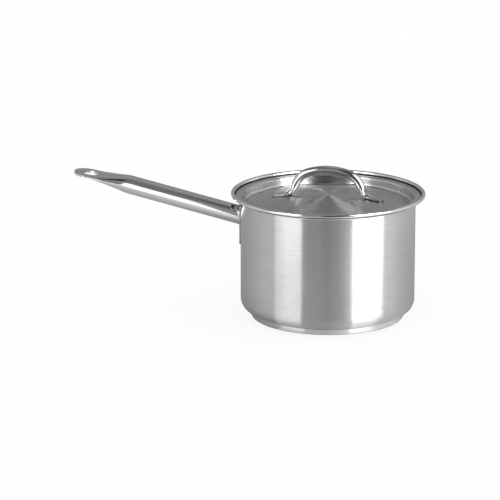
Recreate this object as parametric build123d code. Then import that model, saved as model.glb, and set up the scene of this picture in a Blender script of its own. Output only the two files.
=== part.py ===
from build123d import *
import os
from math import asin, cos, degrees, pi, radians, sin, sqrt, tan

# Stainless steel saucepan with a lift-off lid. Millimetres, +Z up.
# The origin is on the axis of the pan, at the face that it rests on.
# The long handle points along -X, and the handle of the lid lies along X too.

# Pan body, drawn from one sheet. Bend radii are those of the middle of the sheet.
BODY_DIAMETER = 180.0
BODY_SHEET = 0.8
CORNER_RADIUS = 13.0
SEAT_HEIGHT = 126.2
FLARE_RADIUS = 2.5
SEAT_WIDTH = 3.5
RISER_BEND_RADIUS = 0.8
RISER_HEIGHT = 2.3
ROLL_RADIUS = 1.6
ROLL_TURN = 290.0

# Sandwich base: a steel capsule around an aluminium core. It reaches a little past the flat bottom.
BASE_HEIGHT = 6.0
BASE_LIP = 2.0
CAPSULE_SHEET = 0.6
CAPSULE_EDGE_RADIUS = 1.5
CORE_GAP = 0.1

# Lid, pressed from one sheet: a low dome, a trough, an upright wall and a flat flange.
LID_SHEET = 0.8
LID_DOME_RADIUS = 352.0
LID_DEPTH = 9.4
LID_TROUGH_RADIUS = 2.9
LID_BEND_RADIUS = 1.6
LID_SIDE_GAP = 0.8
LID_EDGE_GAP = 0.3

# Lid handle: a tube bent into an arch. It is pressed to an oval where it bends at its feet,
# and quite flat in the tabs beyond them.
GRIP_DIAMETER = 9.0
GRIP_WALL = 1.0
GRIP_SPAN = 75.0
GRIP_RISE = 25.3
GRIP_CROWN_RADIUS = 66.0
GRIP_SHOULDER_RADIUS = 21.0
GRIP_LEAN = 22.7
GRIP_FOOT_THICKNESS = 5.0
GRIP_FOOT_RADIUS = 4.0
GRIP_PRESS_LENGTH = 7.0
GRIP_TAB_LENGTH = 20.7
GRIP_TAB_WIDTH = 14.5
GRIP_TAB_CORNER = 5.0

# Long handle: a tube that rises away from the pan, pressed flat at its free end.
# It leaves the wall at a drop below the seat of the lid.
HANDLE_DIAMETER = 19.3
HANDLE_WALL = 1.2
HANDLE_SLOPE = 13.0
HANDLE_DROP = 25.2
HANDLE_ROUND_LENGTH = 117.0
HANDLE_PRESS_LENGTH = 43.0
HANDLE_TAB_LENGTH = 18.5
HANDLE_TAB_WIDTH = 33.5
HANDLE_TAB_DROOP = 5.0
HANDLE_DROOP_RADIUS = 6.0
HANG_HOLE_DIAMETER = 16.5
HANG_HOLE_INSET = 17.0

# Bracket: a plate curved to the wall, with a short neck that the handle is welded to.
# Its top edge lies at a drop below the seat too.
BRACKET_SHEET = 1.3
BRACKET_WIDTH = 36.0
BRACKET_HEIGHT = 43.0
BRACKET_DROP = 9.2
BRACKET_CORNER = 6.0
NECK_HEIGHT = 1.8
NECK_FILLET = 1.2

# Welds: pieces that are welded lie this far apart, and each spot weld leaves a shallow dimple.
WELD_GAP = 0.05
SPOT_DIAMETER = 3.6
SPOT_DEPTH = 0.3
SPOT_SPACING = 9.0

# Places that follow from the sizes above.
body_radius = BODY_DIAMETER / 2
body_middle = body_radius - BODY_SHEET / 2
flat_radius = body_radius - CORNER_RADIUS
base_radius = flat_radius + BASE_LIP
seat_middle = SEAT_HEIGHT - BODY_SHEET / 2
seat_inner = body_middle + FLARE_RADIUS
seat_outer = seat_inner + SEAT_WIDTH
lid_wall_middle = body_radius - BODY_SHEET - LID_SIDE_GAP - LID_SHEET / 2
lid_flange_middle = SEAT_HEIGHT + LID_SHEET / 2
lid_trough_center = lid_flange_middle - LID_DEPTH + LID_TROUGH_RADIUS
dome_angle = asin((lid_wall_middle - LID_TROUGH_RADIUS) / (LID_DOME_RADIUS + LID_TROUGH_RADIUS))
dome_center = lid_trough_center - (LID_DOME_RADIUS + LID_TROUGH_RADIUS) * cos(dome_angle)
dome_top = dome_center + LID_DOME_RADIUS + LID_SHEET / 2
neck_face = body_radius + WELD_GAP + BRACKET_SHEET + NECK_HEIGHT
handle_height = SEAT_HEIGHT - HANDLE_DROP
handle_way = Vector(-cos(radians(HANDLE_SLOPE)), 0, sin(radians(HANDLE_SLOPE)))
handle_lift = (neck_face - body_radius) * tan(radians(HANDLE_SLOPE))
handle_root = Vector(-neck_face, 0, handle_height + handle_lift)
bracket_top = SEAT_HEIGHT - BRACKET_DROP
bracket_bottom = bracket_top - BRACKET_HEIGHT


class SheetPen:
    """Draws the half section of a round pressing from straight runs and tangent bends."""

    def __init__(self, radius, height, sheet):
        """Starts on the middle of the sheet, heading outward."""
        self.radius = radius
        self.height = height
        self.heading = 0.0
        self.half = sheet / 2
        self.edges = {1: [], -1: []}

    def side(self, which):
        """The point on the left (1) or right (-1) face of the sheet."""
        across = which * self.half
        return Vector(self.radius - across * sin(self.heading), 0, self.height + across * cos(self.heading))

    def run(self, length):
        """Goes straight on."""
        starts = {which: self.side(which) for which in self.edges}
        self.radius += length * cos(self.heading)
        self.height += length * sin(self.heading)
        for which, edges in self.edges.items():
            edges.append(Edge.make_line(starts[which], self.side(which)))

    def bend(self, radius, turn):
        """Bends by a turn in degrees, to the left if it is positive."""
        way = 1 if turn > 0 else -1
        center_radius = self.radius - way * radius * sin(self.heading)
        center_height = self.height + way * radius * cos(self.heading)
        points = {which: [self.side(which)] for which in self.edges}
        for _ in range(2):
            self.heading += radians(turn) / 2
            self.radius = center_radius + way * radius * sin(self.heading)
            self.height = center_height - way * radius * cos(self.heading)
            for which in self.edges:
                points[which].append(self.side(which))
        for which, edges in self.edges.items():
            edges.append(Edge.make_three_point_arc(*points[which]))

    def section(self, rounded):
        """Closes the section. The free edge of the sheet is flat or rounded."""
        left, right = self.side(1), self.side(-1)
        if rounded:
            tip = Vector(
                self.radius + self.half * cos(self.heading), 0, self.height + self.half * sin(self.heading)
            )
            closing = Edge.make_three_point_arc(left, tip, right)
        else:
            closing = Edge.make_line(left, right)
        opening = Edge.make_line(self.edges[1][0] @ 0, self.edges[-1][0] @ 0)
        return Face(Wire.combine(self.edges[1] + self.edges[-1] + [closing, opening])[0])


def smooth_step(share):
    """Eases from 0 to 1 with level ends."""
    return share * share * (3 - 2 * share)


def oval_face(half_width, half_height, side_angle):
    """An oval of four tangent arcs. A larger side angle makes the sides tighter."""
    slack = tan(radians(45 - side_angle / 2))
    side_radius = (half_height - half_width * slack) / (1 - slack)
    join_x = half_width - side_radius * (1 - cos(radians(side_angle)))
    join_y = side_radius * sin(radians(side_angle))
    arcs = []
    arcs.append(Edge.make_three_point_arc((join_x, -join_y), (half_width, 0), (join_x, join_y)))
    arcs.append(Edge.make_three_point_arc((join_x, join_y), (0, half_height), (-join_x, join_y)))
    arcs.append(Edge.make_three_point_arc((-join_x, join_y), (-half_width, 0), (-join_x, -join_y)))
    arcs.append(Edge.make_three_point_arc((-join_x, -join_y), (0, -half_height), (join_x, -join_y)))
    return Face(Wire.combine(arcs)[0])


class Tube:
    """A round tube that can be pressed flat."""

    SHUT = 0.75
    STEPS = 6

    def __init__(self, diameter, wall, flat_width):
        """Takes the outer diameter, the wall and the width of the flat part."""
        self.radius = diameter / 2
        self.wall = wall
        self.flat_half = flat_width / 2

    def half_height(self, flatness):
        """Half of the outer thickness, from round (flatness 0) to flat (flatness 1)."""
        return self.radius + (self.wall - self.radius) * flatness

    def flatness(self, thickness):
        """How flat the tube is where it has this outer thickness."""
        return (self.radius - thickness / 2) / (self.radius - self.wall)

    def section(self, flatness, inset):
        """The outline of the tube, or of its bore if the inset is the wall."""
        half_width = self.radius + (self.flat_half - self.radius) * flatness
        side_angle = 45 + 43 * (1 - (1 - flatness) ** 3)
        return oval_face(half_width - inset, self.half_height(flatness) - inset, side_angle)

    def across(self, start, way):
        """A plane across the tube, with its first axis along the width of the flat part."""
        return Plane(start, x_dir=(0, 1, 0), z_dir=way)

    def straight(self, start, way, length):
        """A round length with an open bore."""
        plane = self.across(start, way)
        return Solid.make_cylinder(self.radius, length, plane) - Solid.make_cylinder(
            self.radius - self.wall, length, plane
        )

    def taper(self, start, way, length, flats, level, share, inset):
        """The first share of a length that goes from one flatness to another.

        The face on the level side stays straight, or both faces close in evenly if it is a zero vector.
        """
        faces = []
        for step in range(self.STEPS + 1):
            place = share * step / self.STEPS
            flatness = flats[0] + (flats[1] - flats[0]) * smooth_step(place)
            drop = self.half_height(flats[0]) - self.half_height(flatness)
            center = start + way * (length * place) + level * drop
            faces.append(self.across(center, way) * self.section(flatness, inset))
        return loft(faces)

    def pressed(self, start, way, length, flats, level=Vector(0, 0, 0)):
        """A hollow length that goes from one flatness to another. Its walls meet before a flat end."""
        share = self.SHUT if flats[1] == 1 else 1
        outside = self.taper(start, way, length, flats, level, 1, 0)
        return outside - self.taper(start, way, length, flats, level, share, self.wall)

    def fold(self, start, way, toward, radius, turn, flatness):
        """A length bent towards one side, hollow if it isn't flat. Gives its far end and the way on too."""
        face = self.section(flatness, 0)
        if flatness < 1:
            face = face - self.section(flatness, self.wall)
        axis = Axis(start + toward * radius, way.cross(toward))
        bend = revolve(self.across(start, way) * face, axis, degrees(turn))
        end = start + toward * (radius * (1 - cos(turn))) + way * (radius * sin(turn))
        return bend, end, way * cos(turn) + toward * sin(turn)

    def flat(self, start, way, length):
        """A flat length, in which the two walls lie on each other."""
        return extrude(self.across(start, way) * self.section(1, 0), length)


def pan_body():
    """The pressed shell, from the middle of the bottom out to the rolled rim."""
    corner_middle = CORNER_RADIUS - BODY_SHEET / 2
    pen = SheetPen(0, BASE_HEIGHT + BODY_SHEET / 2, BODY_SHEET)
    pen.run(flat_radius)
    pen.bend(corner_middle, 90)
    pen.run(seat_middle - FLARE_RADIUS - BASE_HEIGHT - CORNER_RADIUS)
    pen.bend(FLARE_RADIUS, -90)
    pen.run(SEAT_WIDTH)
    pen.bend(RISER_BEND_RADIUS, 90)
    pen.run(RISER_HEIGHT)
    pen.bend(ROLL_RADIUS, -ROLL_TURN)
    return revolve(pen.section(rounded=True), Axis.Z)


def base_capsule():
    """The shallow cup that closes the base."""
    pen = SheetPen(0, CAPSULE_SHEET / 2, CAPSULE_SHEET)
    pen.run(base_radius - CAPSULE_EDGE_RADIUS)
    pen.bend(CAPSULE_EDGE_RADIUS - CAPSULE_SHEET / 2, 90)
    pen.run(BASE_HEIGHT - CAPSULE_EDGE_RADIUS)
    return revolve(pen.section(rounded=False), Axis.Z)


def base_core():
    """The disc inside the capsule."""
    radius = base_radius - CAPSULE_SHEET - CORE_GAP
    disc = Pos(0, 0, CAPSULE_SHEET) * Solid.make_cylinder(radius, BASE_HEIGHT - CAPSULE_SHEET)
    lower_edge = disc.edges().filter_by(GeomType.CIRCLE).sort_by(Axis.Z)[0]
    return fillet(lower_edge, CAPSULE_EDGE_RADIUS - CAPSULE_SHEET)


def lid_panel():
    """The pressed lid. The underside of its flange rests on the seat of the pan."""
    pen = SheetPen(0, dome_center + LID_DOME_RADIUS, LID_SHEET)
    pen.bend(LID_DOME_RADIUS, -degrees(dome_angle))
    pen.bend(LID_TROUGH_RADIUS, 90 + degrees(dome_angle))
    pen.run(LID_DEPTH - LID_TROUGH_RADIUS - LID_BEND_RADIUS)
    pen.bend(LID_BEND_RADIUS, -90)
    pen.run(seat_outer - LID_EDGE_GAP - LID_SHEET / 2 - pen.radius)
    return revolve(pen.section(rounded=True), Axis.Z)


def spot_dimples(center, along, out):
    """Two shallow round cuts, side by side, into a face that looks outward."""
    dimples = []
    for place in (-0.5, 0.5):
        bottom = center + along * (place * SPOT_SPACING) - out * SPOT_DEPTH
        dimples.append(Solid.make_cylinder(SPOT_DIAMETER / 2, 4 * SPOT_DEPTH, Plane(bottom, z_dir=out)))
    return dimples


class GripLine:
    """The middle line of the lid handle's right half: crown, shoulder, leg, foot and tab."""

    def __init__(self):
        """Works out the points at which the arcs and the straights meet."""
        tab_center = GRIP_SPAN / 2 + GRIP_TAB_LENGTH / 2
        tab_angle = asin(tab_center / (dome_top - dome_center))
        lean = radians(GRIP_LEAN)
        foot_level = dome_top - dome_center + WELD_GAP + GRIP_FOOT_THICKNESS / 2
        foot_height = dome_center + (foot_level - GRIP_SPAN / 2 * sin(tab_angle)) / cos(tab_angle)
        self.corner = Vector(GRIP_SPAN / 2, 0, foot_height)
        self.up = Vector(-sin(lean), 0, cos(lean))
        self.tab_up = Vector(sin(tab_angle), 0, cos(tab_angle))
        self.crown = Vector(0, 0, dome_top + GRIP_RISE)
        self.foot_turn = pi / 2 - lean - tab_angle
        self.foot_reach = GRIP_FOOT_RADIUS * tan(self.foot_turn / 2)
        self.foot_start = self.corner + self.up * self.foot_reach
        self.round_shoulder(Vector(-cos(lean), 0, -sin(lean)))

    def round_shoulder(self, inward):
        """Finds the arc that is tangent to the leg and to the crown."""
        crown_center = self.crown - Vector(0, 0, GRIP_CROWN_RADIUS)
        offset = self.corner + inward * GRIP_SHOULDER_RADIUS - crown_center
        reach = GRIP_CROWN_RADIUS - GRIP_SHOULDER_RADIUS
        along = offset.dot(self.up)
        leg_length = -along + sqrt(along * along - offset.dot(offset) + reach * reach)
        center = crown_center + offset + self.up * leg_length
        self.leg_end = self.corner + self.up * leg_length
        self.crown_end = crown_center + (center - crown_center).normalized() * GRIP_CROWN_RADIUS
        bisector = (self.leg_end - center).normalized() + (self.crown_end - center).normalized()
        self.shoulder = center + bisector.normalized() * GRIP_SHOULDER_RADIUS


def mirrored(point):
    """The same point on the other side of the axis."""
    return Vector(-point.X, point.Y, point.Z)


def grip_arch(line, radius):
    """The round part of the lid handle: shoulder, crown and shoulder."""
    right = Edge.make_three_point_arc(line.leg_end, line.shoulder, line.crown_end)
    crown = Edge.make_three_point_arc(line.crown_end, line.crown, mirrored(line.crown_end))
    left = Edge.make_three_point_arc(
        mirrored(line.crown_end), mirrored(line.shoulder), mirrored(line.leg_end)
    )
    start = Plane(line.leg_end, x_dir=(0, 1, 0), z_dir=line.up)
    return sweep(start * Face(Wire.make_circle(radius)), path=Wire([right, crown, left]))


def grip_foot(line, tube):
    """One leg of the lid handle with the oval bend below it, the pressed part and the tab on the dome."""
    down = line.up * -1
    outward = Vector(0, 1, 0).cross(line.up)
    oval = tube.flatness(GRIP_FOOT_THICKNESS)
    leg = tube.pressed(line.leg_end, down, (line.leg_end - line.foot_start).length, (0, oval))
    bend, start, way = tube.fold(line.foot_start, down, outward, GRIP_FOOT_RADIUS, line.foot_turn, oval)
    press = tube.pressed(start, way, GRIP_PRESS_LENGTH, (oval, 1), line.tab_up * -1)
    flat_start = start + way * GRIP_PRESS_LENGTH - line.tab_up * (GRIP_FOOT_THICKNESS / 2 - GRIP_WALL)
    length = GRIP_TAB_LENGTH - line.foot_reach - GRIP_PRESS_LENGTH
    outline = RectangleRounded(2 * length, GRIP_TAB_WIDTH, GRIP_TAB_CORNER)
    lying = Plane(flat_start, x_dir=way, z_dir=line.tab_up)
    tab = tube.flat(flat_start, way, length) & extrude(lying * outline, GRIP_DIAMETER, both=True)
    spots = flat_start + way * (length / 2) + line.tab_up * GRIP_WALL
    return [leg, bend, press, tab - spot_dimples(spots, Vector(0, 1, 0), line.tab_up)]


def lid_handle():
    """The bent tube, closed at both ends where it is pressed flat."""
    line = GripLine()
    tube = Tube(GRIP_DIAMETER, GRIP_WALL, GRIP_TAB_WIDTH)
    arch = grip_arch(line, tube.radius) - grip_arch(line, tube.radius - tube.wall)
    half = grip_foot(line, tube)
    return arch + half + [mirror(piece, Plane.YZ) for piece in half]


def handle_point(distance):
    """A point on the middle line of the long handle, measured from the neck's face."""
    return handle_root + handle_way * distance


def beyond_neck():
    """All the space outside the upright plane in which the handle meets its neck."""
    reach = BODY_DIAMETER + HANDLE_ROUND_LENGTH
    return Pos(-neck_face - reach / 2, 0, handle_height) * Box(reach, reach, reach)


def handle_tube():
    """The long handle. Its end at the pan is cut upright, to meet the neck face to face."""
    tube = Tube(HANDLE_DIAMETER, HANDLE_WALL, HANDLE_TAB_WIDTH)
    inside = handle_point(-HANDLE_DIAMETER)
    round_part = tube.straight(inside, handle_way, HANDLE_DIAMETER + HANDLE_ROUND_LENGTH) & beyond_neck()
    pressed = tube.pressed(handle_point(HANDLE_ROUND_LENGTH), handle_way, HANDLE_PRESS_LENGTH, (0, 1))
    flat_start = handle_point(HANDLE_ROUND_LENGTH + HANDLE_PRESS_LENGTH)
    below = handle_way.cross(Vector(0, 1, 0))
    droop = radians(HANDLE_TAB_DROOP)
    bend, start, way = tube.fold(flat_start, handle_way, below, HANDLE_DROOP_RADIUS, droop, 1)
    tab = tube.flat(start, way, HANDLE_TAB_LENGTH)
    lying = Plane(start + way * HANDLE_TAB_LENGTH, x_dir=way, z_dir=Vector(0, 1, 0).cross(way))
    end_round = Pos(-HANDLE_TAB_WIDTH / 2, 0) * Circle(HANDLE_TAB_WIDTH / 2)
    waste = Rectangle(HANDLE_TAB_WIDTH, HANDLE_TAB_WIDTH) - end_round
    hole = Pos(-HANG_HOLE_INSET, 0) * Circle(HANG_HOLE_DIAMETER / 2)
    cuts = extrude(lying * (waste + hole), HANDLE_DIAMETER, both=True)
    return round_part + [pressed, bend, tab] - cuts


def handle_bracket():
    """The curved plate on the wall, and the hollow neck that rises from it along the handle."""
    inner = body_radius + WELD_GAP
    outer = inner + BRACKET_SHEET
    backing = Solid.make_cylinder(outer, SEAT_HEIGHT)
    facing = Plane((-outer, 0, (bracket_top + bracket_bottom) / 2), x_dir=(0, 1, 0), z_dir=(1, 0, 0))
    outline = RectangleRounded(BRACKET_WIDTH, BRACKET_HEIGHT, BRACKET_CORNER)
    plate = extrude(facing * outline, body_radius / 2) & backing
    tube = Tube(HANDLE_DIAMETER, HANDLE_WALL, HANDLE_TAB_WIDTH)
    inside = tube.across(handle_point(-HANDLE_DIAMETER), handle_way)
    neck = Solid.make_cylinder(tube.radius, 2 * HANDLE_DIAMETER, inside) - beyond_neck()
    bore = Solid.make_cylinder(tube.radius - tube.wall, 2 * HANDLE_DIAMETER, inside) - backing
    bracket = plate + neck - Solid.make_cylinder(inner, SEAT_HEIGHT)
    neck_foot = bracket.edges().filter_by(GeomType.BSPLINE).sort_by(SortBy.LENGTH)[-1]
    bracket = fillet(neck_foot, min(NECK_FILLET, 0.8 * NECK_HEIGHT))
    neck_bottom = handle_root.Z - tube.radius / cos(radians(HANDLE_SLOPE))
    spots = Vector(-outer, 0, (bracket_bottom + neck_bottom) / 2)
    return bracket - bore - spot_dimples(spots, Vector(0, 1, 0), Vector(-1, 0, 0))


if __name__ == "__main__":
    os.makedirs("parts", exist_ok=True)
    pieces = (pan_body, base_core, base_capsule, handle_bracket, handle_tube, lid_panel, lid_handle)
    for make in pieces:
        export_step(make(), f"parts/{make.__name__}.step")
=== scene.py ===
"""Steel saucepan with a lift-off lid: finishes, welds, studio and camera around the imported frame."""

import logging
import math
from dataclasses import dataclass
from enum import Enum

import bpy
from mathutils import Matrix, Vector


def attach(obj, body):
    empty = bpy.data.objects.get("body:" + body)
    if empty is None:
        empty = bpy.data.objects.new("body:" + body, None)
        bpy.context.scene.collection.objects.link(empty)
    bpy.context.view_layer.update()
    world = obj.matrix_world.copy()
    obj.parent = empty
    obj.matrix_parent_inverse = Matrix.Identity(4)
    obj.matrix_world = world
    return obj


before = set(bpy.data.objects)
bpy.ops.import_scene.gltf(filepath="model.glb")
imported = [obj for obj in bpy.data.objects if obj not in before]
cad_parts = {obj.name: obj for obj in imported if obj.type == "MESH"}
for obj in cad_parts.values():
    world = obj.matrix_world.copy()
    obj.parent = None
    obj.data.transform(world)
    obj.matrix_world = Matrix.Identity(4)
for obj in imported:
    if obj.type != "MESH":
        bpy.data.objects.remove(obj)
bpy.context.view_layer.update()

log = logging.getLogger("saucepan")

Point = tuple[float, float, float]
Face = tuple[int, ...]
Value = bpy.types.NodeSocket | float

MM = 0.001
WHITE = (1.0, 1.0, 1.0, 1.0)
HANDLE_SLOPE = 13.0

# Patterns in the steel: features per metre, and how much of a finish's grain and roughness the clouds take.
CLOUD_SCALE, CLOUD_SHADE, CLOUD_ROUGHNESS = 30.0, 0.5, 0.06
WAVE_SCALE = 22.0
LINE_DEPTH = 0.0000006
BLUE_TINT = 1.01
# How far a pattern is squeezed in its coordinates along the grinding lines, so that it runs long there.
FACE_SQUEEZE, WALL_SQUEEZE, TUBE_SQUEEZE = 0.004, 0.05, 0.04
# Turns the stretch of a reflection from along the lines to across them.
QUARTER_TURN = 0.25


class Brushing(Enum):
    """Which way the fine grinding lines of a finish run."""

    ROUND_WALL = "round the axis of the pan, on upright walls"
    ROUND_FACE = "round the axis of the pan, on faces that look up or down"
    ALONG_TUBE = "along the long handle"
    NONE = "polished, with no lines that show"


class ShellPart(Enum):
    """Parts of the pan's shell that have a finish of their own, with their material slots."""

    WALL = 0
    INSIDE = 1
    BOTTOM = 2
    RIM = 3


class CapsulePart(Enum):
    """Parts of the base capsule, with their material slots."""

    EDGE = 0
    UNDERSIDE = 1


class BracketPart(Enum):
    """Parts of the handle's bracket, with their material slots."""

    PLATE = 0
    # Cut edges, which get painted shade.
    SHADED_CUT_EDGE = 1


class PanelPart(Enum):
    """Parts of the lid's panel, with their material slots."""

    DOME = 0
    WALL_AND_FLANGE = 1
    TROUGH = 2


class GripPart(Enum):
    """Parts of the lid's handle, with their material slots."""

    ARCH = 0
    TAB = 1
    # Cut edges, which get painted shade.
    SHADED_CUT_EDGE = 2


class NodeBoard:
    """Places shader nodes in one node tree and wires them together."""

    def __init__(self, tree: bpy.types.NodeTree) -> None:
        """Empties the tree.

        Args:
            tree: the node tree of a material or of the world.
        """
        self.tree = tree
        tree.nodes.clear()

    def add(self, kind: str, **settings: object) -> bpy.types.Node:
        """Adds a node.

        Args:
            kind: the node's type, without the ShaderNode prefix.
            settings: attributes to set on the node.

        Returns:
            The new node.
        """
        node = self.tree.nodes.new("ShaderNode" + kind)
        for name, value in settings.items():
            setattr(node, name, value)
        return node

    def feed(self, value: Value, target: bpy.types.NodeSocket) -> None:
        """Links an output to an input, or sets the input to a plain value.

        Args:
            value: an output or a number.
            target: the input.
        """
        if isinstance(value, bpy.types.NodeSocket):
            self.tree.links.new(value, target)
        else:
            target.default_value = value

    def math(self, operation: str, first: Value, second: Value = 0.0) -> bpy.types.NodeSocket:
        """Adds a Math node.

        Args:
            operation: its operation.
            first: a number or an output.
            second: a number or an output.

        Returns:
            The output of the node.
        """
        node = self.add("Math", operation=operation)
        self.feed(first, node.inputs[0])
        self.feed(second, node.inputs[1])
        return node.outputs[0]

    def blend(self, share: Value, first: Value, second: Value) -> bpy.types.NodeSocket:
        """Mixes two numbers.

        Args:
            share: how much of the second, from 0 to 1.
            first: a number or an output.
            second: a number or an output.

        Returns:
            The mixed number.
        """
        node = self.add("Mix", data_type="FLOAT")
        self.feed(share, node.inputs[0])
        self.feed(first, node.inputs[2])
        self.feed(second, node.inputs[3])
        return node.outputs[0]

    def ease(self, value: Value, start: float, end: float) -> bpy.types.NodeSocket:
        """Rises smoothly from 0 at the start to 1 at the end.

        Args:
            value: the number to read.
            start: where the rise starts.
            end: where it ends.

        Returns:
            The risen number.
        """
        node = self.add("MapRange", interpolation_type="SMOOTHSTEP")
        self.feed(value, node.inputs["Value"])
        node.inputs["From Min"].default_value = start
        node.inputs["From Max"].default_value = end
        return node.outputs["Result"]

    def noise(self, vector: bpy.types.NodeSocket, scale: float, detail: float) -> bpy.types.NodeSocket:
        """Adds a noise texture.

        Args:
            vector: the coordinates that it reads.
            scale: features per metre.
            detail: octaves.

        Returns:
            Its value, spread to about -1 to 1.
        """
        node = self.add("TexNoise")
        node.inputs["Scale"].default_value = scale
        node.inputs["Detail"].default_value = detail
        self.feed(vector, node.inputs["Vector"])
        spread = self.add("MapRange")
        self.feed(node.outputs["Fac"], spread.inputs["Value"])
        limits = {"From Min": 0.25, "From Max": 0.75, "To Min": -1.0, "To Max": 1.0}
        for name, number in limits.items():
            spread.inputs[name].default_value = number
        return spread.outputs["Result"]

    def place(self) -> bpy.types.NodeSocket:
        """The point on the piece, in metres."""
        return self.add("TexCoord").outputs["Object"]

    def ring(self) -> tuple[bpy.types.NodeSocket, bpy.types.NodeSocket]:
        """The distance from the axis of the pan and the height.

        Returns:
            Both outputs, in metres.
        """
        parts = self.add("SeparateXYZ")
        self.feed(self.place(), parts.inputs["Vector"])
        across = self.math("POWER", parts.outputs["X"], 2.0)
        deep = self.math("POWER", parts.outputs["Y"], 2.0)
        return self.math("SQRT", self.math("ADD", across, deep)), parts.outputs["Z"]

    def surface(self, shader: bpy.types.NodeSocket) -> None:
        """Shows a shader on the surface."""
        self.feed(shader, self.add("OutputMaterial").inputs["Surface"])


@dataclass(frozen=True)
class PaintedShade:
    """A ring in a narrow gap, in millimetres, where painted shade darkens the steel, which is also dull
    there.
    """

    inner: float
    outer: float
    low: float
    high: float
    soft: float = 0.25
    shade: float = 0.05
    roughness: float = 0.55

    def mask(self, board: NodeBoard) -> bpy.types.NodeSocket:
        """1 inside the ring, fading to 0 at its edges.

        Args:
            board: the board of the material.

        Returns:
            The output with the mask.
        """
        radius, height = board.ring()
        share: Value = 1.0
        for value, low, high in ((radius, self.inner, self.outer), (height, self.low, self.high)):
            rise = board.ease(value, (low - self.soft) * MM, (low + self.soft) * MM)
            fall = board.ease(value, (high + self.soft) * MM, (high - self.soft) * MM)
            share = board.math("MULTIPLY", board.math("MULTIPLY", rise, fall), share)
        return share


@dataclass(frozen=True)
class SteelFinish:
    """One finish of stainless steel, or of the metal that joins or fills it."""

    name: str
    shade: float
    roughness: float
    brushing: Brushing
    stretch: float = 0.0
    streak: float = 0.01
    grain: float = 0.015
    pitch: float = 900.0
    wave: float = 0.0
    painted_shades: tuple[PaintedShade, ...] = ()

    def line_place(self, board: NodeBoard) -> bpy.types.NodeSocket:
        """Coordinates that change slowly along the grinding lines and fast across them.

        Args:
            board: the board of the material.

        Returns:
            The output with the coordinates.
        """
        place = board.place()
        if self.brushing is Brushing.NONE:
            return place
        if self.brushing is Brushing.ROUND_FACE:
            radius, _ = board.ring()
            flat = board.add("VectorMath", operation="MULTIPLY")
            board.feed(place, flat.inputs[0])
            flat.inputs[1].default_value = (1.0, 1.0, 0.0)
            turn = board.add("VectorMath", operation="NORMALIZE")
            board.feed(flat.outputs["Vector"], turn.inputs[0])
            parts = board.add("SeparateXYZ")
            board.feed(turn.outputs["Vector"], parts.inputs["Vector"])
            joined = board.add("CombineXYZ")
            for axis in ("X", "Y"):
                board.feed(board.math("MULTIPLY", parts.outputs[axis], FACE_SQUEEZE), joined.inputs[axis])
            board.feed(radius, joined.inputs["Z"])
            return joined.outputs["Vector"]
        stretched = board.add("Mapping")
        board.feed(place, stretched.inputs["Vector"])
        if self.brushing is Brushing.ROUND_WALL:
            stretched.inputs["Scale"].default_value = (WALL_SQUEEZE, WALL_SQUEEZE, 1.0)
        else:
            stretched.inputs["Rotation"].default_value = (0.0, math.radians(HANDLE_SLOPE), 0.0)
            stretched.inputs["Scale"].default_value = (TUBE_SQUEEZE, 1.0, 1.0)
        return stretched.outputs["Vector"]

    def material(self) -> bpy.types.Material:
        """Makes the material, or gives it if it is there already.

        Returns:
            The material.
        """
        made = bpy.data.materials.get(self.name)
        if made:
            return made
        made = bpy.data.materials.new(self.name)
        made.use_nodes = True
        board = NodeBoard(made.node_tree)
        steel = board.add("BsdfPrincipled")
        steel.inputs["Metallic"].default_value = 1.0
        steel.inputs["Anisotropic"].default_value = self.stretch
        lines = board.noise(self.line_place(board), self.pitch, 4.0)
        cloud = board.noise(board.place(), CLOUD_SCALE, 3.0)
        shade = board.math("ADD", board.math("MULTIPLY", lines, self.grain), self.shade)
        shade = board.math("ADD", board.math("MULTIPLY", cloud, CLOUD_SHADE * self.grain), shade)
        rough = board.math("ADD", board.math("MULTIPLY", lines, self.streak), self.roughness)
        rough = board.math("ADD", board.math("MULTIPLY", cloud, CLOUD_ROUGHNESS * self.roughness), rough)
        # Painted shade: each ring darkens the colour in a gap and raises the roughness.
        for painted_shade in self.painted_shades:
            mask = painted_shade.mask(board)
            shade = board.blend(mask, shade, painted_shade.shade)
            rough = board.blend(mask, rough, painted_shade.roughness)
        color = board.add("CombineColor")
        board.feed(shade, color.inputs["Red"])
        board.feed(shade, color.inputs["Green"])
        board.feed(board.math("MULTIPLY", shade, BLUE_TINT), color.inputs["Blue"])
        board.feed(color.outputs["Color"], steel.inputs["Base Color"])
        board.feed(rough, steel.inputs["Roughness"])
        bump = board.add("Bump")
        bump.inputs["Strength"].default_value = 1.0
        bump.inputs["Distance"].default_value = 1.0
        fine = board.math("MULTIPLY", lines, LINE_DEPTH)
        slow = board.math("MULTIPLY", board.noise(board.place(), WAVE_SCALE, 1.0), self.wave * MM)
        board.feed(board.math("ADD", fine, slow), bump.inputs["Height"])
        board.feed(bump.outputs["Normal"], steel.inputs["Normal"])
        if self.brushing in (Brushing.ROUND_WALL, Brushing.ROUND_FACE):
            steel.inputs["Anisotropic Rotation"].default_value = QUARTER_TURN
            tangent = board.add("Tangent", direction_type="RADIAL", axis="Z")
            board.feed(tangent.outputs["Tangent"], steel.inputs["Tangent"])
        board.surface(steel.outputs["BSDF"])
        return made


# Painted shade beside the lid's edge, in the cove under the rim, and under the rim's bead, where these gaps
# fall in shade.
RIM_PAINTED_SHADE = (
    PaintedShade(95.3, 97.2, 125.9, 128.5, soft=0.3),
    PaintedShade(89.5, 92.2, 124.0, 125.9, soft=0.15, shade=0.04),
    PaintedShade(96.8, 99.4, 126.0, 127.7, soft=0.15, shade=0.05),
)
# Painted shade along the capsule's foot, where it stands on the floor.
FOOT_PAINTED_SHADE = PaintedShade(76.0, 80.0, -1.0, 0.8, soft=0.4, shade=0.3, roughness=0.4)

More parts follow.
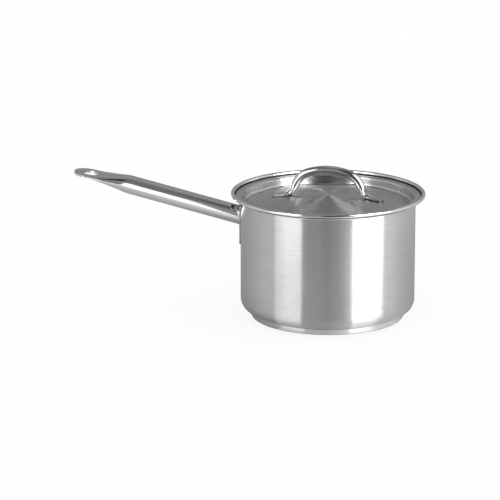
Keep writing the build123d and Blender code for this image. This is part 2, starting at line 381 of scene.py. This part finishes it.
# Each finish: name, shade, roughness, brushing, and how far the brushing stretches a reflection.
WALL = SteelFinish(
    "brushed_wall", 0.60, 0.23, Brushing.ROUND_WALL, 1.0, streak=0.02, grain=0.032, wave=0.003
)
INSIDE = SteelFinish("satin_inside", 0.60, 0.36, Brushing.ROUND_WALL, 0.85, streak=0.03)
BOTTOM = SteelFinish("turned_bottom", 0.60, 0.36, Brushing.ROUND_FACE, 0.85, streak=0.04, pitch=700.0)
RIM = SteelFinish("polished_rim", 0.74, 0.10, Brushing.NONE, painted_shades=RIM_PAINTED_SHADE)
EDGE = SteelFinish(
    "ground_base_edge", 0.84, 0.16, Brushing.ROUND_WALL, 0.9, streak=0.02, painted_shades=(FOOT_PAINTED_SHADE,)
)
UNDER = SteelFinish(
    "turned_underside", 0.58, 0.34, Brushing.ROUND_FACE, 0.85, streak=0.06, grain=0.03, pitch=500.0
)
DOME = SteelFinish("spun_lid", 0.52, 0.29, Brushing.ROUND_FACE, 1.0, streak=0.03, grain=0.02)
FLANGE = SteelFinish("brushed_lid_edge", 0.60, 0.32, Brushing.ROUND_WALL, 1.0, streak=0.02)
TROUGH = SteelFinish("bright_trough", 0.60, 0.14, Brushing.NONE)
TUBE = SteelFinish("polished_tube", 0.64, 0.09, Brushing.ALONG_TUBE, streak=0.015, wave=0.004)
POLISH = SteelFinish("polished_steel", 0.64, 0.10, Brushing.NONE, wave=0.002)
SATIN = SteelFinish("satin_tab", 0.54, 0.30, Brushing.NONE, streak=0.03, grain=0.02)
BEAD = SteelFinish("weld_metal", 0.60, 0.14, Brushing.NONE, streak=0.02, grain=0.03)
BRAZE = SteelFinish("dull_braze", 0.20, 0.40, Brushing.NONE, streak=0.04, grain=0.03)
# Painted shade for cut edges: a dark colour, with a dull finish.
SHADED_CUT_FINISH = SteelFinish("painted_shade_cut_edge", 0.26, 0.42, Brushing.NONE, streak=0.05, grain=0.03)
CORE = SteelFinish("rolled_aluminium", 0.75, 0.35, Brushing.NONE, streak=0.03)


class RoundMesh:
    """Collects rings of points and closes them into one smooth band."""

    def __init__(self) -> None:
        """Starts with no rings."""
        self.rings: list[list[Point]] = []

    def add(self, ring: list[Point]) -> None:
        """Adds the next ring, with as many points as the others."""
        self.rings.append(ring)

    def piece(self, name: str, body: str, slot: str, finish: SteelFinish) -> bpy.types.Object:
        """Makes the piece, with its last ring joined to its first.

        Args:
            name: the name of the piece.
            body: the body that it rides on.
            slot: the record's material slot; not used.
            finish: its finish.

        Returns:
            The new piece.
        """
        count, around = len(self.rings), len(self.rings[0])
        faces = []
        for step in range(count):
            here, there = step * around, (step + 1) % count * around
            for place in range(around):
                after = (place + 1) % around
                faces.append((here + place, here + after, there + after, there + place))
        mesh = bpy.data.meshes.new(name)
        mesh.from_pydata([point for ring in self.rings for point in ring], [], faces)
        mesh.shade_smooth()
        mesh.materials.append(finish.material())
        made = bpy.data.objects.new(name, mesh)
        bpy.context.scene.collection.objects.link(made)
        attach(made, body)
        return made


def dress(node: str, *finishes: SteelFinish) -> bpy.types.Object:
    """Gives a node its finishes.

    Args:
        node: the node's name.
        finishes: the finishes of its material slots, in order.

    Returns:
        The node's object.
    """
    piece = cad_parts[node]
    piece.data.materials.clear()
    for finish in finishes:
        piece.data.materials.append(finish.material())
    return piece


@dataclass
class PanShell:
    """The pressed shell of the pan. Sizes in millimetres."""

    bottom_top: float = 7.2
    flare_start: float = 123.3
    wall_inner: float = 89.5
    facing_up: float = 0.5

    def part_of(self, face: bpy.types.MeshPolygon) -> ShellPart:
        """Finds which part of the shell a face belongs to.

        Args:
            face: a face of the node.

        Returns:
            The part.
        """
        center, normal = face.center / MM, face.normal
        radius = math.hypot(center.x, center.y)
        inward = normal.x * center.x + normal.y * center.y < 0
        if center.z > self.flare_start:
            return ShellPart.RIM
        if center.z < self.bottom_top and normal.z > self.facing_up:
            return ShellPart.BOTTOM
        return ShellPart.INSIDE if inward and radius < self.wall_inner else ShellPart.WALL

    def dress(self) -> list[bpy.types.Object]:
        """Brushes the wall, inside and bottom, and polishes the rim.

        Returns:
            The pieces.
        """
        shell = dress("pan_body", WALL, INSIDE, BOTTOM, RIM)
        for face in shell.data.polygons:
            face.material_index = self.part_of(face).value
        return [shell]


@dataclass
class SandwichBase:
    """The capsule with its core, and the braze in the joint above it. Sizes in millimetres."""

    radius: float = 79.0
    height: float = 6.0
    corner: float = 13.0
    corner_inset: float = 2.0
    facing_down: float = -0.7
    braze_root: float = 0.4
    braze_middle: float = 0.4
    braze_reach: float = 0.9
    braze_drop: float = 0.25
    slow_waves: int = 17
    slow_swell: float = 0.12
    fine_waves: int = 41
    fine_swell: float = 0.10
    steps: int = 240

    def corner_height(self, radius: float) -> float:
        """How high the shell's rounded corner is at a radius."""
        inset = radius - (self.radius - self.corner_inset)
        return self.height + self.corner - math.sqrt(self.corner**2 - inset**2)

    def braze(self) -> bpy.types.Object:
        """A thin uneven fillet of braze between the capsule's edge and the shell.

        Returns:
            The new piece.
        """
        ring = RoundMesh()
        root = self.radius - self.braze_root
        middle = self.radius + self.braze_middle * self.braze_reach
        for step in range(self.steps):
            turn = math.tau * step / self.steps
            swell = 1.0 + self.slow_swell * math.sin(self.slow_waves * turn + 1.0)
            swell += self.fine_swell * math.sin(self.fine_waves * turn)
            reach = self.radius + self.braze_reach * swell
            # The fillet's section, as radius and height: over the capsule's edge, up the shell and back.
            section = (
                (root, self.height - 0.1),
                (self.radius + 0.03, self.height - self.braze_drop * swell),
                (self.radius + 0.12, self.height + 0.02),
                (middle, self.corner_height(middle) - 0.1),
                (reach, self.corner_height(reach) + 0.01),
                (root, self.corner_height(self.radius) + 0.05),
            )
            ring.add([(r * MM * math.cos(turn), r * MM * math.sin(turn), z * MM) for r, z in section])
        return ring.piece("base_braze", "pan", "polished_base", BRAZE)

    def part_of(self, face: bpy.types.MeshPolygon) -> CapsulePart:
        """Tells the capsule's underside from its edge."""
        return CapsulePart.UNDERSIDE if face.normal.z < self.facing_down else CapsulePart.EDGE

    def dress(self) -> list[bpy.types.Object]:
        """Grinds the edge, turns the underside and fills the joint.

        Returns:
            The pieces.
        """
        capsule = dress("base_capsule", EDGE, UNDER)
        for face in capsule.data.polygons:
            face.material_index = self.part_of(face).value
        return [capsule, dress("base_core", CORE), self.braze()]


@dataclass
class LongHandle:
    """The tube handle with its bracket, and the weld that joins them. Sizes in millimetres."""

    neck_face: float = 93.15
    neck_reach: float = 14.0
    cut_facing: float = 0.5
    tube_radius: float = 9.65
    slope: float = HANDLE_SLOPE
    root_height: float = 101.727
    bead_radius: float = 0.65
    bead_flat: float = 0.8
    bead_sink: float = 0.2
    ripples: int = 38
    ripple_lean: float = 0.9
    ripple_size: float = 0.02
    swells: int = 5
    swell_start: float = 0.7
    swell_size: float = 0.05
    steps: int = 456
    around: int = 12

    def weld(self) -> bpy.types.Object:
        """The rippled weld bead round the joint of tube and neck.

        Returns:
            The new piece.
        """
        ring = RoundMesh()
        tall = self.tube_radius / math.cos(math.radians(self.slope))
        for step in range(self.steps):
            turn = math.tau * step / self.steps
            side, rise = math.cos(turn), math.sin(turn)
            normal = Vector((0.0, side * tall, rise * self.tube_radius)).normalized()
            middle = Vector((-self.neck_face, self.tube_radius * side, self.root_height + tall * rise))
            swell = self.swell_size * math.sin(self.swells * turn + self.swell_start)
            points = []
            for place in range(self.around):
                angle = math.tau * place / self.around
                ripple = math.sin(self.ripples * turn + self.ripple_lean * math.cos(angle) ** 2)
                size = self.bead_radius * (1.0 + self.ripple_size * ripple + swell)
                out = normal * (size * self.bead_flat * math.cos(angle) - self.bead_sink)
                along = Vector((size * math.sin(angle), 0.0, 0.0))
                points.append(tuple((middle + out + along) * MM))
            ring.add(points)
        return ring.piece("handle_weld", "pan", "polished_handle", BEAD)

    def part_of(self, face: bpy.types.MeshPolygon) -> BracketPart:
        """Finds the bracket's cut edges, which turn away from the wall and lie beyond the neck; they get
        painted shade.

        Args:
            face: a face of the bracket.

        Returns:
            The part.
        """
        center, normal = face.center, face.normal
        reach = math.hypot(center.y / MM, center.z / MM - self.root_height)
        facing = abs(normal.x * center.x + normal.y * center.y)
        turned = facing < self.cut_facing * math.hypot(center.x, center.y)
        return BracketPart.SHADED_CUT_EDGE if turned and reach > self.neck_reach else BracketPart.PLATE

    def dress(self) -> list[bpy.types.Object]:
        """Polishes the tube and its bracket, gives the bracket's cut edges painted shade and a dull finish,
        and lays the weld.

        Returns:
            The pieces.
        """
        bracket = dress("handle_bracket", POLISH, SHADED_CUT_FINISH)
        for face in bracket.data.polygons:
            face.material_index = self.part_of(face).value
        return [bracket, dress("handle_tube", TUBE), self.weld()]


@dataclass
class Lid:
    """The pressed lid and its arched handle. Sizes in millimetres."""

    dome_edge: float = 84.4
    wall_middle: float = 88.0
    trough_facing: float = 0.2
    tab_start: float = 43.0
    tab_facing: float = 0.7

    def panel_part(self, face: bpy.types.MeshPolygon) -> PanelPart:
        """Finds which part of the panel a face belongs to.

        Args:
            face: a face of the panel.

        Returns:
            The part.
        """
        radius = math.hypot(face.center.x, face.center.y) / MM
        if radius < self.dome_edge:
            return PanelPart.DOME
        trough = radius < self.wall_middle and face.normal.z > self.trough_facing
        return PanelPart.TROUGH if trough else PanelPart.WALL_AND_FLANGE

    def grip_part(self, face: bpy.types.MeshPolygon) -> GripPart:
        """Finds which part of the handle a face belongs to. Only the right tab's cut edge gets painted shade,
        with a dull finish.

        Args:
            face: a face of the handle.

        Returns:
            The part.
        """
        if abs(face.center.x) / MM < self.tab_start:
            return GripPart.ARCH
        shaded = face.normal.z < self.tab_facing and face.center.x > 0
        return GripPart.SHADED_CUT_EDGE if shaded else GripPart.TAB

    def dress(self) -> list[bpy.types.Object]:
        """Spins the dome, brushes the wall and flange, polishes the handle between its satin tabs, and paints
        shade on the right tab's cut edge.

        Returns:
            The pieces.
        """
        panel = dress("lid_panel", DOME, FLANGE, TROUGH)
        for face in panel.data.polygons:
            face.material_index = self.panel_part(face).value
        grip = dress("lid_handle", POLISH, SATIN, SHADED_CUT_FINISH)
        for face in grip.data.polygons:
            face.material_index = self.grip_part(face).value
        return [panel, grip]


@dataclass(frozen=True)
class Ramp:
    """How bright the surroundings are, from stops of bearing in degrees and level.

    The bearing is the one in which the wall of the pan mirrors a point to the camera; 0 is the camera's side.
    """

    stops: tuple[tuple[float, float], ...]
    top: float = 8.0
    wall_radius: float = 0.09
    rounds: int = 2

    def level(self, board: NodeBoard, zero: float) -> bpy.types.NodeSocket:
        """Reads the ramp at the bearing of each point.

        Args:
            board: the board of the material.
            zero: the camera's own bearing in degrees.

        Returns:
            The level.
        """
        parts = board.add("SeparateXYZ")
        board.feed(board.place(), parts.inputs["Vector"])
        radius, _ = board.ring()
        toward = board.math("MULTIPLY", parts.outputs["Y"], -1.0)
        bearing = board.math("ARCTAN2", parts.outputs["X"], toward)
        bearing = board.math("SUBTRACT", bearing, math.radians(zero))
        nearness = board.math("MINIMUM", board.math("DIVIDE", self.wall_radius, radius), 1.0)
        # The wall stands off the axis, so a near point is mirrored at a wider bearing than its own.
        mirrored = bearing
        for _ in range(self.rounds):
            half = board.math("MULTIPLY", mirrored, 0.5)
            offset = board.math("MULTIPLY", board.math("SINE", half), nearness)
            mirrored = board.math("ADD", bearing, board.math("ARCSINE", offset))
        turn = board.math("ADD", board.math("DIVIDE", mirrored, math.tau), 0.5)
        ramp = board.add("ValToRGB")
        board.feed(turn, ramp.inputs["Fac"])
        colors = ramp.color_ramp.elements
        while len(colors) < len(self.stops):
            colors.new(0.5)
        for color, (place, level) in zip(colors, self.stops):
            color.position = place / 360.0 + 0.5
            color.color = (level / self.top,) * 3 + (1.0,)
        return board.math("MULTIPLY", ramp.outputs["Color"], self.top)


@dataclass(frozen=True)
class Strip:
    """A curved strip that stands round the pan and shows only in its reflections. Sizes in metres."""

    name: str
    start: float
    end: float
    distance: float
    low: float
    high: float
    ramp: Ramp
    steps: int = 48

    def build(self, studio: "Studio") -> bpy.types.Object:
        """Makes the strip from its bearings.

        Args:
            studio: the studio that it stands in.

        Returns:
            The strip.
        """
        points, faces = [], []
        for step in range(self.steps + 1):
            mirrored = math.radians(self.start + (self.end - self.start) * step / self.steps)
            offset = math.asin(self.ramp.wall_radius / self.distance * math.sin(mirrored / 2))
            turn = mirrored + (math.radians(studio.bearing) - offset)
            x, y = self.distance * math.sin(turn), -self.distance * math.cos(turn)
            points += [(x, y, self.low), (x, y, self.high)]
            if step:
                faces.append((2 * step - 2, 2 * step, 2 * step + 1, 2 * step - 1))
        return studio.card(self.name, points, faces, (self.ramp,))


# First and last bearing of the left and right softboxes, and of the smaller cards.
LEFT_START, LEFT_END = -73.3, -34.4
LEFT_HIGH_START = -66.0
RIGHT_START, RIGHT_END = 32.4, 76.4
RIGHT_HIGH_END = RIGHT_END - 3.0
FLAG_START, FLAG_END = -14.0, 30.0
FILL_END = -8.0

SURROUND = Ramp((
    (-180.0, 0.32), (-140.0, 0.40), (-92.0, 0.70), (-76.0, 0.72), (-36.0, 0.25), (-16.0, 0.22),
    (-8.0, 0.22), (-4.0, 0.06), (20.0, 0.06), (30.0, 0.30), (79.0, 0.95), (90.0, 0.90), (115.0, 0.65),
    (180.0, 0.32),
))
RIGHT_HIGH = Ramp(((RIGHT_START, 7.0), (RIGHT_END, 7.0)))
RIGHT_LOW = Ramp(((RIGHT_START, 6.5), (RIGHT_END, 6.5)))
LEFT_HIGH = Ramp(((LEFT_HIGH_START, 5.0), (-55.0, 6.0), (LEFT_END, 6.0)))
LEFT_LOW = Ramp(((LEFT_START, 1.2), (-54.0, 1.8), (LEFT_END, 1.6)))
HANDLE_FILL = Ramp(((LEFT_END, 0.36), (FILL_END, 0.36)))
FRONT_FLAG = Ramp(((FLAG_START, 0.06), (10.0, 0.06), (FLAG_END, 0.30)))
NEAR_TABLE = Ramp((
    (-180.0, 0.20), (LEFT_START - 1.0, 0.30), (LEFT_START + 1.0, 0.50), (LEFT_END - 1.0, 0.54),
    (LEFT_END + 1.0, 0.48), (0.0, 0.46), (RIGHT_START - 2.0, 0.70), (RIGHT_START + 1.0, 1.0),
    (RIGHT_END - 14.0, 0.9), (RIGHT_END - 4.0, 0.7), (110.0, 0.65), (180.0, 0.20),
))
CLOSE_TABLE = Ramp((
    (-180.0, 0.32), (-120.0, 0.40), (LEFT_START - 1.0, 0.58), (LEFT_START + 2.0, 0.8), (-60.0, 1.1),
    (LEFT_END - 1.0, 1.1), (LEFT_END + 1.0, 0.48), (0.0, 0.46), (20.0, 0.60), (RIGHT_START - 1.0, 0.85),
    (RIGHT_START + 1.0, 1.6), (RIGHT_END - 14.0, 1.5), (RIGHT_END - 6.0, 1.0), (RIGHT_END + 1.0, 0.8),
    (180.0, 0.32),
))
FAR_TABLE = Ramp((
    (-180.0, 0.35), (-140.0, 0.42), (-92.0, 0.70), (LEFT_START - 0.7, 0.72), (LEFT_START + 0.7, 0.95),
    (LEFT_END - 0.7, 0.95), (LEFT_END + 0.7, 0.52), (0.0, 0.52), (14.0, 0.60), (RIGHT_START, 0.95),
    (RIGHT_END, 0.95), (90.0, 0.90), (115.0, 0.65), (180.0, 0.35),
))
OUTER_TABLE = Ramp((
    (-180.0, 0.45), (LEFT_START - 0.7, 0.72), (LEFT_START + 0.7, 1.0), (-55.0, 1.35),
    (LEFT_END - 0.7, 1.25), (LEFT_END + 0.7, 0.28), (0.0, 0.28), (RIGHT_START - 0.7, 0.70),
    (RIGHT_START + 0.7, 1.1), (RIGHT_END, 1.1), (180.0, 0.45),
))
OVERHEAD = Ramp((
    (-180.0, 0.42), (-160.0, 0.35), (-145.0, 0.15), (-8.0, 0.22), (-4.0, 0.06), (24.0, 0.06),
    (34.0, 0.20), (145.0, 0.15), (160.0, 0.35), (180.0, 0.42),
))
ZENITH = Ramp(((-180.0, 0.32), (180.0, 0.32)))

# Distances from the axis, and the height at which the low softboxes end and the high ones start.
STUDIO_RADIUS, SOFTBOX_RADIUS, CARD_RADIUS = 2.4, 1.2, 0.45
CEILING = 2.6
SPLIT = 0.42
STRIPS = (
    Strip("surround", -183.0, 183.0, STUDIO_RADIUS, 0.0, CEILING, SURROUND),
    Strip("front_flag", FLAG_START, FLAG_END, STUDIO_RADIUS - 0.1, 0.30, 0.9, FRONT_FLAG),
    Strip("right_softbox_high", RIGHT_START, RIGHT_HIGH_END, SOFTBOX_RADIUS, SPLIT, 1.6, RIGHT_HIGH),
    Strip("right_softbox_low", RIGHT_START, RIGHT_END, SOFTBOX_RADIUS, 0.0, SPLIT, RIGHT_LOW),
    Strip("left_softbox_high", LEFT_HIGH_START, LEFT_END, SOFTBOX_RADIUS, SPLIT, 1.2, LEFT_HIGH),
    Strip("left_softbox_low", LEFT_START, LEFT_END, SOFTBOX_RADIUS, 0.0, SPLIT, LEFT_LOW),
    Strip("left_low_card", LEFT_START, LEFT_END, CARD_RADIUS, 0.0, 0.30, LEFT_LOW),
    Strip("handle_fill", LEFT_END, FILL_END, CARD_RADIUS, 0.16, 0.46, HANDLE_FILL),
)


@dataclass
class Studio:
    """The floor, the cards round the pan, the world and the camera. Sizes in metres."""

    bearing: float = 9.5
    floor_radius: float = 6.0
    floor_height: float = -0.0006
    floor_shade: float = 0.97
    floor_glow: float = 0.86
    table_height: float = -0.0003
    table_ramps: tuple[Ramp, ...] = (NEAR_TABLE, CLOSE_TABLE, FAR_TABLE, OUTER_TABLE)
    table_reaches: tuple[tuple[float, float], ...] = ((0.082, 0.112), (0.13, 0.20), (0.42, 0.62))
    zenith_radius: float = 0.5
    zenith_drop: float = 0.02
    world_level: float = 1.0
    lens: float = 216.0
    sensor: float = 36.0
    sight: float = 50.0
    camera_place: Point = (0.4924, -2.9540, 0.8655)
    camera_tilt: float = 14.908
    camera_turn: float = 11.0
    disc_step: int = 3
    strips: tuple[Strip, ...] = STRIPS

    def stand(self, name: str, points: list[Point], faces: list[Face]) -> bpy.types.Object:
        """Makes a mesh that isn't part of the pan.

        Args:
            name: its name.
            points: its vertices.
            faces: its faces.

        Returns:
            The object.
        """
        mesh = bpy.data.meshes.new(name)
        mesh.from_pydata(points, [], faces)
        made = bpy.data.objects.new(name, mesh)
        bpy.context.scene.collection.objects.link(made)
        return made

    def disc(self, radius: float, height: float) -> tuple[list[Point], list[Face]]:
        """A flat disc on the axis of the pan.

        Args:
            radius: its radius.
            height: its height.

        Returns:
            Its points and its one face.
        """
        turns = [math.radians(turn) for turn in range(0, 360, self.disc_step)]
        points = [(radius * math.cos(turn), radius * math.sin(turn), height) for turn in turns]
        return points, [tuple(range(len(points)))]

    def card(
        self, name: str, points: list[Point], faces: list[Face], ramps: tuple[Ramp, ...]
    ) -> bpy.types.Object:
        """Makes a glowing card that shows only in reflections.

        Args:
            name: its name.
            points: its vertices.
            faces: its faces.
            ramps: its ramp, or several from the pan outward.

        Returns:
            The card.
        """
        made = bpy.data.materials.new(name)
        made.use_nodes = True
        board = NodeBoard(made.node_tree)
        level = ramps[0].level(board, self.bearing)
        if len(ramps) > 1:
            radius, _ = board.ring()
            for ramp, reach in zip(ramps[1:], self.table_reaches):
                level = board.blend(board.ease(radius, *reach), level, ramp.level(board, self.bearing))
        glow = board.add("Emission")
        board.feed(level, glow.inputs["Strength"])
        board.surface(glow.outputs["Emission"])
        card = self.stand(name, points, faces)
        card.data.materials.append(made)
        card.visible_camera = False
        card.visible_diffuse = False
        card.visible_shadow = False
        return card

    def seen(self, board: NodeBoard) -> bpy.types.NodeSocket:
        """Picks the rays that show the background: camera, glossy and transmission rays.

        Args:
            board: the board of the floor or the world.

        Returns:
            1 for these rays and 0 for the others.
        """
        path = board.add("LightPath")
        shown = board.math("MAXIMUM", path.outputs["Is Camera Ray"], path.outputs["Is Glossy Ray"])
        return board.math("MAXIMUM", shown, path.outputs["Is Transmission Ray"])

    def floor(self) -> None:
        """A white floor that keeps a soft shadow."""
        floor = self.stand("floor", *self.disc(self.floor_radius, self.floor_height))
        made = bpy.data.materials.new("floor")
        made.use_nodes = True
        board = NodeBoard(made.node_tree)
        matt = board.add("BsdfDiffuse")
        matt.inputs["Color"].default_value = (self.floor_shade,) * 3 + (1.0,)
        white = board.add("Emission")
        mix = board.add("MixShader")
        board.feed(board.math("MULTIPLY", self.seen(board), self.floor_glow), mix.inputs["Fac"])
        board.feed(matt.outputs["BSDF"], mix.inputs[1])
        board.feed(white.outputs["Emission"], mix.inputs[2])
        board.surface(mix.outputs["Shader"])
        floor.data.materials.append(made)

    def cards(self) -> None:
        """The table, the ceiling and the strips, which show only in reflections."""
        self.card("table_card", *self.disc(STUDIO_RADIUS, self.table_height), self.table_ramps)
        self.card("ceiling_card", *self.disc(STUDIO_RADIUS, CEILING), (OVERHEAD,))
        self.card("zenith_card", *self.disc(self.zenith_radius, CEILING - self.zenith_drop), (ZENITH,))
        for strip in self.strips:
            strip.build(self)

    def world(self) -> None:
        """A white world for the rays that show it, and a plain level for the rest."""
        world = bpy.data.worlds.new("studio")
        bpy.context.scene.world = world
        world.use_nodes = True
        board = NodeBoard(world.node_tree)
        plain = board.add("Background")
        plain.inputs["Color"].default_value = WHITE
        plain.inputs["Strength"].default_value = self.world_level
        white = board.add("Background")
        white.inputs["Color"].default_value = WHITE
        mix = board.add("MixShader")
        board.feed(self.seen(board), mix.inputs["Fac"])
        board.feed(plain.outputs["Background"], mix.inputs[1])
        board.feed(white.outputs["Background"], mix.inputs[2])
        board.feed(mix.outputs["Shader"], board.add("OutputWorld").inputs["Surface"])

    def camera(self) -> None:
        """A long lens, a little above the pan and to the right of its front."""
        lens = bpy.data.cameras.new("camera")
        lens.lens = self.lens
        lens.sensor_width = self.sensor
        lens.clip_end = self.sight
        camera = bpy.data.objects.new("camera", lens)
        camera.location = self.camera_place
        tilt, turn = math.radians(90.0 - self.camera_tilt), math.radians(self.camera_turn)
        camera.rotation_euler = (tilt, 0.0, turn)
        bpy.context.scene.collection.objects.link(camera)
        bpy.context.scene.camera = camera

    def build(self) -> None:
        """Sets up everything round the pan."""
        self.floor()
        self.cards()
        self.world()
        self.camera()
        bpy.context.scene.view_settings.view_transform = "Standard"


def main() -> None:
    """Dresses the pan, logs each dressed piece and sets up the studio."""
    logging.basicConfig(level=logging.INFO)
    for part in (PanShell(), SandwichBase(), LongHandle(), Lid()):
        for piece in part.dress():
            log.info("%s: %s is dressed", type(part).__name__, piece.name)
    Studio().build()


if __name__ == "__main__":
    main()
